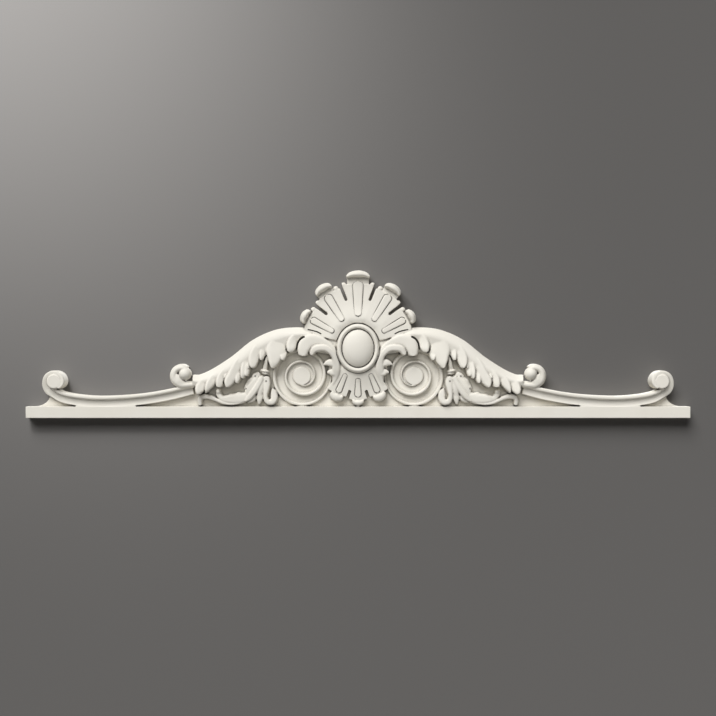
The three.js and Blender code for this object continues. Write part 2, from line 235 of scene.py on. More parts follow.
leaf(
    relief,
    BAND_SPINE,
    half=[BAND_HALF] * 2,
    ridge=[RAIL_DEPTH] * 2,
    rim=[RAIL_DEPTH - BAND_HOLLOW] * 2,
    steps=80,
    section=hollowed,
)
leaf(
    relief,
    [(x, y + BEAD_OFFSET) for x, y in BAND_SPINE],
    half=[BEAD_HALF] * 2,
    ridge=[BEAD_DEPTH] * 2,
    rim=[RAIL_DEPTH] * 2,
    steps=80,
)
print("the band runs from", BAND_SPINE[0], "to", BAND_SPINE[-1])

# %% [markdown]
# At its end the band is wound up once about a flat eye. It narrows and rises as it winds, which is why
# the step beside the eye is deep where the band arrives and fades out at the top.

# %% End scroll
SCROLL_EYE = 14.5
SCROLL_DEPTH = 40
EYE_EDGE = 1.5
SCROLL_THICKNESS = [16, 13, 10, 8.6, 7.6, 7, 6.6, 6.3, 6, 4.5, 2]
SCROLL_LEAD_IN = [(581, 36), (602, 43)]
WINDING_START = -60
WINDING_STEP = 30
WINDING_OVERLAP = 0.5


def disc(clay, centre, across, up, foot, depth):
    """An oval disc of two half-sizes, standing out of the board."""
    shape = Matrix.Diagonal((across * MM, up * MM, (depth - foot) * MM, 1))
    place = Matrix.Translation(upright(*centre, (foot + depth) / 2)) @ Matrix.Rotation(math.pi / 2, 4, "X")
    bmesh.ops.create_cone(
        clay, cap_ends=True, segments=64, radius1=1, radius2=1, depth=1, matrix=place @ shape,
    )


winding = list(SCROLL_LEAD_IN)
for step, thick in enumerate(SCROLL_THICKNESS):
    winding.append(polar(SCROLL, SCROLL_EYE + thick / 2, WINDING_START + WINDING_STEP * step))
leaf(
    relief,
    winding,
    half=[BAND_HALF] * 2 + [thick / 2 + WINDING_OVERLAP for thick in SCROLL_THICKNESS],
    ridge=[RAIL_DEPTH - 3, RAIL_DEPTH + 1, 34, 38, SCROLL_DEPTH, SCROLL_DEPTH],
    rim=[RAIL_DEPTH - 4, RAIL_DEPTH - 1, 32, 36, SCROLL_DEPTH - 2, SCROLL_DEPTH - 2],
    steps=90,
)
disc(relief, SCROLL, SCROLL_EYE, SCROLL_EYE, BEHIND_WALL, SCROLL_DEPTH - EYE_EDGE)
disc(relief, SCROLL, SCROLL_EYE - EYE_EDGE, SCROLL_EYE - EYE_EDGE, BEHIND_WALL, SCROLL_DEPTH)
print("the scroll stands", SCROLL_DEPTH, "mm off the wall")

# %% [markdown]
# The wing is an acanthus leaf laid along the slope. Its broad blade rolls forward from the upper edge
# until it faces the front, and then sinks a little behind the lobes that will lie on it. A section of
# its own gives that roll, measured down from the upper edge.

# %% Wing blade
WING_TOP_EDGE = 28
WING_FRONT = 44
BLADE_DEPTH = WING_FRONT - 4.5
BLADE_SINK = 0.3
RIB = 8
WEB = 32
ROLL = 20


def rolled(s):
    """Lowest at the upper edge, rolling forward to face the front, and sinking behind the lobes."""
    below_edge = RIB - RIB * s if s > 0 else RIB - WEB * s
    if below_edge < ROLL:
        return 1 - (1 - below_edge / ROLL) ** 2
    return 1 - BLADE_SINK * (below_edge - ROLL) / (RIB + WEB - ROLL)


leaf(
    relief,
    WING_SPINE,
    half=[3, 7] + [RIB] * 7,
    right=[10, 16, 22, WEB, WEB, WEB, 24, 18, 12],
    ridge=[BLADE_DEPTH] * 2,
    rim=[WING_TOP_EDGE] * 2,
    steps=90,
    across=24,
    section=rolled,
)
print("the blade rolls from", WING_TOP_EDGE, "to", BLADE_DEPTH, "mm off the wall")

# %% [markdown]
# Lobes run down out of the blade and end in rounded tips. Each lobe is high on its outer side and slips
# under the next one like a roof shingle, which leaves the groove that a carver would cut. A loop over one
# shape would be shorter, but drawing every lobe by its own spine keeps the ragged lower edge true.

# %% Wing lobes
LOBE_SWELL = 8
LOBE_RISE = [-10, -4.2, -1.6, 0.2, 2, 3.2, 2.6]
LOBE_TIP = 0.08
SHINGLE_TILT = 0.28
# Each row is a spine, its outer half widths, its inner ones where they differ, and a lift.
LOBES = [
    ([(118, 169), (128, 160.5), (132.5, 149.5), (134, 140.5), (136, 132)], [4, 8, 10, 9, 5], None, 1),
    ([(154, 140.5), (150, 128.5), (150, 116)], [10, 8, 3], None, -2),
    (
        [(158, 170.5), (162, 158.5), (164, 144.5), (165, 132.5), (167.5, 119), (169, 109.5), (171, 100)],
        [4, 13, 19, 20, 13.5, 9, 3],
        [18, 20, 20, 20, 13.5, 9, 3],
        0,
    ),
    ([(188, 146.5), (191, 130.5), (193, 116)], [8, 6.5, 3], None, -2),
    (
        [(195, 154.5), (200, 144.5), (204.5, 133.5), (208, 122.5), (209.5, 113), (210, 104.5), (211, 100)],
        [1.5, 6.5, 10, 11, 10, 6.5, 2],
        [18, 15, 11.5, 11, 9.5, 6.5, 2],
        0,
    ),
    ([(218.5, 122.5), (218.5, 108.5), (218, 99.5)], [3, 3, 2], None, -2.5),
    ([(219, 124.5), (220.5, 106.5), (222, 92.5), (223, 84)], [5, 5.5, 5, 2.5], None, -1.5),
    ([(222, 122.5), (226.5, 107), (229, 94), (230, 79.5)], [6.5, 6.5, 6, 3], None, -0.5),
    ([(236, 104.5), (239, 86.5), (242, 70)], [7, 6.5, 3], None, -2),
    (
        [
            (229, 128.5), (235, 119), (241, 108), (246, 96.5),
            (252, 83.5), (258, 73.5), (260, 66), (260.5, 61.5),
        ],
        [1.5, 6, 9, 10, 10.5, 9.5, 6, 2],
        [18, 15, 12, 10, 10.5, 9.5, 6, 2],
        0,
    ),
    ([(258, 94.5), (263, 86), (267.5, 80)], [5, 4, 1.5], None, -2),
    (
        [(258, 106.5), (266, 93.5), (273, 82.5), (276.5, 72.5), (277, 62)],
        [1.5, 7, 8.5, 7.5, 6],
        [12, 9, 8, 7.5, 6],
        -0.5,
    ),
    ([(282, 93.5), (290, 78.5), (298, 64.5), (304, 50.5)], [1.5, 8.5, 7.5, 1], [12, 10, 7, 1], -0.5),
    ([(302, 83.5), (310, 70.5), (316, 58.5), (319, 48)], [2, 9.5, 10, 4.5], [10, 10.5, 9, 3], -1),
]


def shingled(s):
    """High and crisp on the outer side, sloping down to slip under the next lobe on the inner side."""
    return broad(s) * (1 - SHINGLE_TILT + SHINGLE_TILT * s)


for spine, half, right, lift in LOBES:
    ridge = [WING_FRONT + lift + rise for rise in LOBE_RISE]
    rim = [depth - LOBE_SWELL for depth in ridge]
    leaf(relief, spine, half, ridge, rim, right, steps=48, across=20, tip=LOBE_TIP, section=shingled)
print("the wing has", len(LOBES), "lobes")

# %% [markdown]
# The wing's tail ends in a snail curl: a tapering tube wound about a ball, with a leaflet laid over it.

# %% Tail curl
TAIL_SPINE = [(320, 70), (338, 67), (354, 67), (366, 75), (369, 87), (364, 97), (353, 101), (345, 97)]
TAIL_HALF = [6, 7, 8, 8.5, 8.5, 8, 8, 7]
TAIL_LEAFLET = [(350, 66), (359, 75), (363, 88)]
TAIL_BALL = (346, 89, 30)


def ball(clay, centre, sizes, turn=0.0):
    """A ball squashed to three half-sizes: across, up and out of the board."""
    across, up, out = sizes
    shape = Matrix.Diagonal((across * MM, out * MM, up * MM, 1))
    matrix = Matrix.Translation(upright(*centre)) @ Matrix.Rotation(-turn, 4, "Y") @ shape
    bmesh.ops.create_uvsphere(clay, u_segments=32, v_segments=20, radius=1, matrix=matrix)


leaf(relief, TAIL_SPINE, TAIL_HALF, ridge=[36, 38, 40], rim=[26, 26], steps=60, section=swell)
leaf(relief, TAIL_LEAFLET, [8, 8, 5.5], ridge=[36, 38, 37], rim=[30, 30], tip=0.3)
ball(relief, TAIL_BALL, sizes=(13, 13, 15))
print("the tail curls to", TAIL_SPINE[-1])

# %% [markdown]
# A second leaf curls out from beside the ring towards the wing, on a short stem with two leaflets. Its
# upper lobe lies over the strap that carries it, which leaves the curved groove between them.

# %% Curling leaf
CURLING_SWELL = 7
CURLING_TIP = 0.045
# Each row is a spine, half widths and the depths of the ridge.
CURLING = [
    (
        [
            (41, 104.5), (43, 120.5), (48, 134.5), (57, 145.5), (72, 153.5),
            (88, 156), (102, 151), (108.5, 138.5), (110, 124.5),
        ],
        [2.5, 4, 5.5, 6.5, 9, 13, 14.5, 12.5, 9],
        [36, 41, 43, 43, 43, 43.5, 44.5, 45, 44],
    ),
    (
        [
            (50.5, 66.5), (46, 80.5), (44, 94.5), (43.5, 108.5), (47, 122.5),
            (54, 133), (64, 140), (76, 141), (87, 137.5), (94, 126.5),
        ],
        [1.5, 6, 9, 8, 6, 6.5, 7, 7, 7, 4.5],
        [30, 34, 39, 42, 45, 47, 48, 48, 47, 45],
    ),
    ([(44, 109), (54, 111), (61, 110.5), (68.5, 107.5)], [10, 8, 6, 1.5], [40, 41, 39]),
    ([(44, 92.5), (52, 92), (57, 92.5), (62, 91.5)], [9, 7.5, 5, 1.5], [37, 38, 36]),
]
for spine, half, ridge in CURLING:
    rim = [depth - CURLING_SWELL for depth in ridge]
    leaf(relief, spine, half, ridge, rim, steps=60, across=16, tip=CURLING_TIP)
print("the curling leaf has", len(CURLING), "parts")

# %% [markdown]
# The volute is one ribbon wound inward and upward to a flat eye. A raised fillet runs along the ribbon's
# outer edge and a shallow channel lies inside it. The ribbon's outer radius is drawn at quarter turns,
# and its width is what is left between one turn and the next.

# %% The volute's ribbon
VOLUTE = (113, 84.6)
VOLUTE_RADII = [60.5, 58.5, 54.5, 48, 39.5, 34.5, 31, 27, 20, 17, 17, 17, 17]
FILLET_EDGE = -0.44
FILLET_MIDDLE = -0.72
FILLET_HALF = 0.28
FILLET_WALL = 0.6
CHANNEL_MIDDLE = 0.3
CHANNEL_FLOOR = 0.05
CHANNEL_HOLLOW = 0.03


def fillet_and_channel(s):
    """A raised fillet along the right rim, and a channel over the rest of the ribbon."""
    if s < FILLET_EDGE:
        return FILLET_WALL + (1 - FILLET_WALL) * broad((s - FILLET_MIDDLE) / FILLET_HALF)
    return CHANNEL_FLOOR + CHANNEL_HOLLOW * ((s - CHANNEL_MIDDLE) / (1 - CHANNEL_MIDDLE)) ** 2


def volute_radius(turns):
    return along(VOLUTE_RADII, 4 * turns / (len(VOLUTE_RADII) - 1))


print("the ribbon winds in from", volute_radius(0), "to", volute_radius(2), "mm")

# %% [markdown]
# A leaf that crosses itself would leave odd scraps, so the winding is cut into stretches of less than
# half a turn. Each overlaps the next by a little, and they fuse later. The fillet fades out at the eye.

# %% Volute
IN_PLATE = PLATE_DEPTH - 6
VOLUTE_DEPTH = 21
VOLUTE_RISE = 4
VOLUTE_START = -0.25
VOLUTE_TURNS = 2
VOLUTE_EYE = 18
VOLUTE_EYE_LIFT = 2
STRETCH = 0.375
STRETCH_OVERLAP = 0.02
STRETCH_STEPS = 14
RIBBON_OVERLAP = 1
FILLET_LIFT = 8.5
FILLET_END = VOLUTE_TURNS + 0.1
FILLET_FADE = 0.5

start = VOLUTE_START
while start < VOLUTE_TURNS:
    turns = [
        start + (STRETCH + STRETCH_OVERLAP) * step / STRETCH_STEPS for step in range(STRETCH_STEPS + 1)
    ]
    halves = [(volute_radius(turn) - volute_radius(turn + 1)) / 2 for turn in turns]
    floors = [VOLUTE_DEPTH + VOLUTE_RISE * turn - FILLET_LIFT for turn in turns]
    lifts = [FILLET_LIFT * min(1, max(0, (FILLET_END - turn) / FILLET_FADE)) for turn in turns]
    leaf(
        relief,
        [polar(VOLUTE, volute_radius(turn) - half, 360 * turn - 90) for turn, half in zip(turns, halves)],
        half=[half + RIBBON_OVERLAP for half in halves],
        right=halves,
        ridge=[floor + lift for floor, lift in zip(floors, lifts)],
        rim=floors,
        foot=IN_PLATE,
        steps=30,
        across=30,
        section=fillet_and_channel,
    )
    start += STRETCH
eye_depth = VOLUTE_DEPTH + VOLUTE_RISE * VOLUTE_TURNS - FILLET_LIFT + VOLUTE_EYE_LIFT
disc(relief, VOLUTE, VOLUTE_EYE, VOLUTE_EYE, IN_PLATE, eye_depth)
print("the volute winds", VOLUTE_TURNS, "turns")

# %% [markdown]
# Under the wing hangs a flower: a stalk, a collar, a body and overlapping petals, one of which hooks
# round at the bottom. Two tendrils run out of it along the rail. They are all leaves that are rounded at
# both ends, and the collar is two squashed balls.

# %% Flower and tendrils
PETAL_SWELL = 6
PETAL_DROP = 3
PETAL_ROUND = 0.06
# Each row is a spine, half widths and the depth of the ridge.
FLOWER = [
    ([(182, 124.5), (184.5, 110.5), (187, 96.5)], [3, 4, 4.5], 33),
    ([(188, 84.5), (202, 60.5), (212, 44.5)], [10, 16, 12], 26),
    ([(197, 89.5), (206, 83.5), (210, 75.5)], [5, 7, 5], 31),
    ([(202, 82.5), (214, 72.5), (225.5, 63)], [6, 8, 3], 30),
    ([(200, 82.5), (212, 66.5), (219, 53.5), (224.5, 37.5)], [6, 8, 8.5, 3], 32),
    ([(192, 83.5), (199, 68.5), (208, 54.5), (218, 42), (226.5, 34)], [5, 6, 6.5, 5.5, 1.5], 35),
    ([(191, 81.5), (194, 64.5), (196, 52.5), (198, 43.5)], [4, 5.5, 6, 4.5], 33),
    ([(195, 58.5), (197, 40.5), (199, 28)], [7, 7, 2], 30),
    ([(208, 46.5), (211, 37.5), (222, 31)], [6, 5, 1.5], 28),
    (
        [
            (185, 84.5), (182.5, 70.5), (184, 56.5), (185.5, 44.5), (182, 34),
            (173, 32), (168, 39.5), (169, 50.5), (172, 60),
        ],
        [6, 7.5, 6, 4.5, 5.5, 6, 7, 6, 1],
        34,
    ),
    (
        [(222, 43.5), (236, 39.5), (250, 38.5), (263, 38), (273, 40), (279, 47), (280, 54.5)],
        [9, 11, 10.5, 8, 5.5, 5.5, 5],
        31,
    ),
    (
        [
            (234, 30), (252, 28), (268, 30), (282, 35.5), (294, 41),
            (306, 43.5), (315, 41.5), (318, 34.5), (316, 25.5),
        ],
        [1, 2, 3, 3.5, 4.5, 5, 5, 4.5, 4],
        30,
    ),
    ([(230, 42.5), (239, 48), (247, 48)], [5, 4.5, 1], 30),
    ([(246, 40.5), (255, 45), (263, 44.5)], [5, 4, 1], 29.5),
    ([(210, 74.5), (218.5, 75.5), (223, 72)], [4.5, 4, 1], 29.5),
    ([(216, 62.5), (224, 62), (228.5, 58.5)], [4.5, 4, 1], 29),
]
COLLAR = (187, 94.5, 25)
LOWER_COLLAR = (186, 89.5, 25)
COLLAR_TILT = 0.2
TENDRIL_END = (280, 53.5, 25)

for spine, half, depth in FLOWER:
    ridge = [depth, depth, depth - PETAL_DROP]
    leaf(relief, spine, half, ridge, [depth - PETAL_SWELL] * 2, steps=60, tip=PETAL_ROUND, root=PETAL_ROUND)
ball(relief, COLLAR, sizes=(9.8, 3.6, 11), turn=COLLAR_TILT)
ball(relief, TENDRIL_END, sizes=(5.8, 5.8, 7))
ball(relief, LOWER_COLLAR, sizes=(7.6, 2.8, 9), turn=COLLAR_TILT)
print("the flower has", len(FLOWER), "parts")

# %% [markdown]
# All rays of the palmette spread from one focus behind the boss. The palmette stands highest just outside
# the ring and sweeps back outward, like a shallow trumpet, with a small cove between its crest and the
# ring. One curve of depth over radius gives every ray the same sweep.

# %% The palmette's sweep
RAY_ROOT = 36
SHELL_STEP = 11
SHELL = [34, 40, 42.5, 40, 37, 35.2, 34.2, 33.8, 33.8, 33.8, 33.8]


def shell(radius):
    return along(SHELL, (radius - RAY_ROOT) / (SHELL_STEP * (len(SHELL) - 1)))


print("the palmette's crest stands", max(SHELL), "mm off the wall")

# %% [markdown]
# Each ray is a flat blade that widens to square shoulders, then a neck, then a lip where the leaf's end
# curls forward, and a raised tongue lies down the middle. The lip is a leaf laid across the ray, with its
# ends bowed back.

# %% One ray of the palmette
SWEEP_STEPS = 12
BLADE_EDGE = 0.3
BLADE_TIP = 0.09
NECK_OVERLAP = 8
NECK_WIDTH = 0.93
NECK_END = 2
NECK_SINK = [1, 2]
NECK_RIM = 3
TONGUE_LIFT = 1.8
TONGUE_EDGE = 0.8
TONGUE_TAPER = 0.66
LIP_OUTWARD = [0.4, 0.8, 0.95, 1, 0.95, 0.8, 0.4]
LIP_INWARD = [0.6, 0.5, 0.7, 0.8, 0.7, 0.5, 0.6]
LIP_SINK = [2, 1, 2]
LIP_BOW = 5
LIP_ROUND = 0.14
LIP_END_CURL = 0.7


def ray(clay, degrees, half, shoulder, tip, lip, roll, curl, lift, tongue):
    """Radii are measured from the focus, and depths from the palmette's sweep."""

    def line(start, end):
        return [polar(FOCUS, start, degrees), polar(FOCUS, end, degrees)]

    def surface(start, end, raised):
        """The shell's depth at even steps along the ray."""
        return [
            shell(start + (end - start) * step / SWEEP_STEPS) + raised for step in range(SWEEP_STEPS + 1)
        ]

    blade = surface(RAY_ROOT, shoulder, lift)
    rim = [depth - BLADE_EDGE for depth in blade]
    leaf(clay, line(RAY_ROOT, shoulder), half, blade, rim, steps=48, tip=BLADE_TIP, section=flat)
    depth = shell(shoulder) + lift
    lip_middle = tip - roll
    neck = line(shoulder - NECK_OVERLAP, lip_middle - NECK_END)
    ridge = [depth - sink for sink in NECK_SINK]
    leaf(clay, neck, [lip * NECK_WIDTH] * 2, ridge, rim=[depth - NECK_RIM] * 2)
    outer, inner, tongue_half = tongue
    raised = surface(outer, inner, lift + TONGUE_LIFT)
    leaf(
        clay,
        line(outer, inner),
        half=[tongue_half, tongue_half * TONGUE_TAPER],
        ridge=raised,
        rim=[top - TONGUE_EDGE for top in raised],
        steps=90,
        root=tongue_half / (outer - inner),
        tip=tongue_half / (outer - inner),
        section=flat,
    )
    lip_line = []
    for share in (-1, -0.5, 0, 0.5, 1):
        along_ray = Vector(polar((0, 0), lip_middle - LIP_BOW * share * share, degrees))
        across_ray = Vector(polar((0, 0), lip * share, degrees + 90))
        lip_line.append(Vector(FOCUS) + along_ray + across_ray)
    leaf(
        clay,
        lip_line,
        half=[roll * share for share in LIP_INWARD],
        right=[roll * share for share in LIP_OUTWARD],
        ridge=[depth + curl * LIP_END_CURL, depth + curl, depth + curl * LIP_END_CURL],
        rim=[depth - sink for sink in LIP_SINK],
        steps=48,
        root=LIP_ROUND,
        tip=LIP_ROUND,
        section=swell,
    )


print("a tongue lies", TONGUE_LIFT, "mm above its blade")

# %% [markdown]
# Two rays stand on either side of the middle one above the boss, and one beside the middle one below it.
# A small rounded ear stands at each shoulder, beside the slit, and plain fillers close the field next to
# the ring. With that the right half is complete, and it is mirrored.

# %% Side rays and the other half
LOWERED = -6
# Each row is an angle in degrees, the blade's half widths, the radii of shoulder and tip, the lip's half
# length, roll and curl, a lift, and the tongue's outer radius, inner radius and half width.
SIDE_RAYS = [
    (58, [12, 20, 26, 31], 119, 142.5, 18, 8.5, 12, 0, (119, 57, 8)),
    (29, [10.5, 17, 22, 25.5], 112, 130, 14, 8.5, 11, 0, (108, 55, 6.4)),
    (-67, [10, 14, 19, 22], 106, 121, 13, 9, 5, LOWERED, (103, 62, 5.6)),
]
EARS = [(29, 267), (44.5, 259.5), (80, 231), (89.5, 217.5), (102, 184)]
EAR_DEPTH = 29
EAR_SIZES = (5.2, 5.2, 5.4)
# Each row is the radius and angle of its start and of its end, half widths and the depths of the ridge.
FILLERS = [
    ((RAY_ROOT, 3), (80, 3), [16, 20, 18], [33, 37, 37, 34]),
    ((30, -38), (72, -50), [14, 18, 16], [34, 36, 35, 31]),
]
FILLER_EDGE = 1


def mirror_to_left(clay):
    bmesh.ops.mirror(clay, geom=clay.verts[:] + clay.edges[:] + clay.faces[:], axis="X")


for row in SIDE_RAYS:
    ray(relief, *row)
for ear in EARS:
    ball(relief, (*ear, EAR_DEPTH), EAR_SIZES)
for start, end, half, ridge in FILLERS:
    spine = [polar(FOCUS, *start), polar(FOCUS, *end)]
    leaf(relief, spine, half, ridge, [depth - FILLER_EDGE for depth in ridge])
mirror_to_left(relief)
print("both halves have", len(relief.faces), "faces")

# %% [markdown]
# The forms on the centre line are made once, after the halves have been mirrored: the middle ray above
# and below the boss, and the rail, which is a plain bar.

# %% Middle rays and rail
MIDDLE_RAYS = [
    (90, [12, 20, 27, 37], 123, 150, 23.5, 8, 13, 0, (129, 58, 10.2)),
    (-90, [8, 12, 16, 19], 110, 121, 11.5, 6, 4, LOWERED, (104, 66, 6)),
]
for row in MIDDLE_RAYS:
    ray(relief, *row)

rail_size = Matrix.Diagonal((RAIL_LENGTH * MM, (RAIL_DEPTH - BEHIND_WALL) * MM, RAIL_HEIGHT * MM, 1))
rail_place = Matrix.Translation(upright(0, RAIL_HEIGHT / 2, (RAIL_DEPTH + BEHIND_WALL) / 2))
bmesh.ops.create_cube(relief, size=1, matrix=rail_place @ rail_size)
print("the rail is", RAIL_LENGTH, "by", RAIL_HEIGHT, "by", RAIL_DEPTH, "mm")

# %% [markdown]
# The boss is an oval dome on a seat, in a rolled ring. The ring is a circle spun about the boss and then
# stretched to an oval; the dome is a squashed ball and the seat a disc.

# %% Boss and ring
BOSS = (0, 140)
BOSS_SEAT = 42
BOSS_MIDDLE = 38
BOSS_DEPTH = 54
DOME_OVAL = (32, 38.2)
RING_OVAL = (37.8, 43.8)
RING_ROLL = 5.3
RING_STRETCH = 1.8
RING_MIDDLE = 36


def oval_roll(clay, oval, roll, stretch, depth):
    """A roll wound round the boss, a number of times deeper than it is wide."""
    middle = sum(oval) / 2
    stand_up = Matrix.Rotation(math.pi / 2, 4, "X")
    before = set(clay.verts)
    circle = bmesh.ops.create_circle(clay, segments=24, radius=roll * MM, matrix=stand_up)["verts"]
    bmesh.ops.translate(clay, verts=circle, vec=(middle * MM, 0, 0))
    edges = list(dict.fromkeys(edge for vert in circle for edge in vert.link_edges))
    bmesh.ops.spin(clay, geom=circle + edges, axis=(0, 0, 1), angle=2 * math.pi, steps=96, use_merge=True)
    wound = [vert for vert in clay.verts if vert not in before]
    shape = Matrix.Diagonal((oval[0] / middle, oval[1] / middle, stretch, 1))
    place = Matrix.Translation(upright(*BOSS, depth))
    bmesh.ops.transform(clay, verts=wound, matrix=place @ stand_up @ shape)


oval_roll(relief, RING_OVAL, RING_ROLL, RING_STRETCH, RING_MIDDLE)
disc(relief, BOSS, *RING_OVAL, IN_PLATE, BOSS_SEAT)
ball(relief, (*BOSS, BOSS_MIDDLE), (*DOME_OVAL, BOSS_DEPTH - BOSS_MIDDLE))
print("the clay has", len(relief.verts), "vertices")

# %% [markdown]
# The dark slits between the rays and the drilled eyes in the leaves are taken away rather than added, so
# they are shaped as separate cutting tools: the same leaf and disc, with a foot in front of the relief.

# %% Slits and eyes to cut
IN_FRONT = 70
EYE_RADIUS = 1.8
SLIT_ROOT = 0.06
SLIT_TIP = 0.1
# Each row is a spine, half widths and the depth of the slit's floor.
SLITS = [
    ([(40, 279), (37, 270.5), (34, 263), (28.5, 249), (23, 235)], [5, 3.8, 3.3, 3.2, 3], BEHIND_WALL),
    ([(91, 230), (84, 224.5), (77, 219.5), (69, 213.5), (61.5, 207.5)], [5, 3.8, 3.3, 3.2, 3], BEHIND_WALL),
    ([(24, 34), (21, 41), (16, 56)], [3.6, 3.2, 3], PLATE_DEPTH),
    ([(101, 177.5), (93, 176), (82, 173), (73, 168.5)], [1.2, 1.2], 32),
    ([(106, 163.5), (112, 161), (117, 156.5), (121, 149)], [1.8, 2.2, 2, 1.4], 16),
]
DRILLED_EYES = [((256, 110.5), 38), ((206, 84), 29.8), ((184, 74), 32.6), ((225, 59), 27.5)]

tools = bmesh.new()
for spine, half, floor in SLITS:
    leaf(tools, spine, half, [floor] * 2, [floor] * 2, foot=IN_FRONT, root=SLIT_ROOT, tip=SLIT_TIP)
for place, floor in DRILLED_EYES:
    disc(tools, place, EYE_RADIUS, EYE_RADIUS, floor, IN_FRONT)
print("there are", 2 * len(SLITS), "slits and", 2 * len(DRILLED_EYES), "eyes to cut")

# %% [markdown]
# A fine groove outlines each tongue, as a carver's veiner leaves it. Its spine runs down one side, round
# the inner end and back up the other side. It stays open for a hair's breadth at the outer end, because
# a leaf may not cross itself.

# %% Grooves round the tongues
GROOVE_HALF = 0.8
GROOVE_DEPTH = 0.6
SIDE_STEPS = 10


def tongue_groove(degrees, lift, tongue):
    outer, inner, half = tongue
    narrow = half * TONGUE_TAPER
    round_it = []
    for degree in (75, 50, 25):
        turn = math.radians(degree)
        round_it.append((outer - half + half * math.sin(turn), (half + GROOVE_HALF) * math.cos(turn)))
    for step in range(SIDE_STEPS + 1):
        radius = outer - half + (inner + narrow - outer + half) * step / SIDE_STEPS
        round_it.append((radius, half + (narrow - half) * step / SIDE_STEPS + GROOVE_HALF))
    for degree in (30, 60, 90):
        turn = math.radians(degree)
        round_it.append((inner + narrow * (1 - math.sin(turn)), (narrow + GROOVE_HALF) * math.cos(turn)))
    round_it += [(radius, -across) for radius, across in reversed(round_it[:-1])]
    path = []
    for radius, across in round_it:
        path.append(Vector(polar(FOCUS, radius, degrees)) + Vector(polar((0, 0), across, degrees + 90)))
    floors = [shell(radius) + lift - GROOVE_DEPTH for radius, across in round_it]
    leaf(tools, path, [GROOVE_HALF] * 2, floors, floors, foot=IN_FRONT, steps=96, across=3)


for degrees, *_, lift, tongue in SIDE_RAYS:
    tongue_groove(degrees, lift, tongue)
mirror_to_left(tools)
for degrees, *_, lift, tongue in MIDDLE_RAYS:
    tongue_groove(degrees, lift, tongue)
print("there are", 2 * len(SIDE_RAYS) + len(MIDDLE_RAYS), "tongues to outline")

# %% [markdown]
# Two oval grooves set off the ring: one parts it from the dome, the other from the rays. They are thin
# rolls, stretched so deep that they cut like a bent knife.

# %% Grooves round the ring
SEAM = 0.05 * MM
# Each row is an oval's two half-sizes, the groove's half width, its stretch and its middle's depth.
RING_GROOVES = [((32.3, 38.4), 0.9, 8, 44), ((44, 50), 0.8, 5, 40)]
for groove in RING_GROOVES:
    oval_roll(tools, *groove)
bmesh.ops.remove_doubles(tools, verts=tools.verts[:], dist=SEAM)
bmesh.ops.recalc_face_normals(tools, faces=tools.faces[:])
print("the cutting tools have", len(tools.faces), "faces")

# %% [markdown]
# So far the forms are separate lumps that pass through each other. A voxel remesh fuses them into one
# skin, as plaster fills a mould. The tools are then taken out of it, and a light smoothing softens every
# edge as paint does.

# %% Fuse and carve the clay
VOXEL = 1.0 * MM


def placed(name, mesh_maker):
    mesh = bpy.data.meshes.new(name)
    mesh_maker.to_mesh(mesh)
    mesh_maker.free()
    thing = bpy.data.objects.new(name, mesh)
    bpy.context.scene.collection.objects.link(thing)
    return thing


def applied(thing):
    seen = thing.evaluated_get(bpy.context.evaluated_depsgraph_get())
    return bpy.data.meshes.new_from_object(seen)


clay_object = placed("clay", relief)
tool_object = placed("tools", tools)
fuse = clay_object.modifiers.new("fuse", "REMESH")
fuse.mode = "VOXEL"
fuse.voxel_size = VOXEL
carve = clay_object.modifiers.new("carve", "BOOLEAN")
carve.operation = "DIFFERENCE"
carve.solver = "MANIFOLD"
carve.object = tool_object
soften = clay_object.modifiers.new("soften", "SMOOTH")
soften.factor = 0.5
soften.iterations = 2
skin = applied(clay_object)
bpy.data.objects.remove(clay_object)
bpy.data.objects.remove(tool_object)
print("the fused skin has", len(skin.polygons), "faces")

# %% [markdown]
# The skin is finer than it needs to be where it is flat. A decimation thins it there and keeps the small
# triangles where the form turns.

# %% Thin the skin
MOST_TRIANGLES = 190_000

whole = bmesh.new()
whole.from_mesh(skin)
bmesh.ops.triangulate(whole, faces=whole.faces[:])
triangles = len(whole.faces)
thick_skin = placed("thick_skin", whole)
thin = thick_skin.modifiers.new("thin", "DECIMATE")
thin.ratio = MOST_TRIANGLES / triangles
thinned = applied(thick_skin)
bpy.data.objects.remove(thick_skin)
print("the skin went from", triangles, "to", len(thinned.polygons), "triangles")

# %% [markdown]
# A plane cuts the back flat where the casting meets the wall. The cut comes after the thinning, so that
# its border stays straight. Normals are weighted by face area, which keeps flat faces evenly shaded, and
# sharp creases stay crisp.

# %% Cut the back and shade
CREASE = math.radians(65)

cut = bmesh.new()
cut.from_mesh(thinned)
back = bmesh.ops.bisect_plane(
    cut,
    geom=cut.verts[:] + cut.edges[:] + cut.faces[:],
    plane_co=(0, WALL, 0),
    plane_no=(0, 1, 0),
    clear_outer=True,
)["geom_cut"]
bmesh.ops.edgeloop_fill(cut, edges=[edge for edge in back if isinstance(edge, bmesh.types.BMEdge)])
bmesh.ops.triangulate(cut, faces=cut.faces[:])
ornament = placed("ornament_casting", cut)
ornament.data.shade_smooth()
ornament.data.set_sharp_from_angle(angle=CREASE)
even_shading = ornament.modifiers.new("even_shading", "WEIGHTED_NORMAL")
even_shading.mode = "FACE_AREA"
even_shading.weight = 50
even_shading.keep_sharp = True

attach(ornament, "root")
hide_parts(NODE)
print("the casting has", len(ornament.data.polygons), "triangles")

# %% [markdown]
# The casting is painted with a matte off-white wall paint, rolled and brushed thin over a primed
# surface. Such a paint scatters light almost evenly; close up it has a fine stipple, and its tone shifts
# a little from place to place. Two noises in Object coordinates give both at their real size.

# %% Matte off-white paint
# Brush marks and thin places change the tone over about 45 mm.
TONE_WIDTH = 45
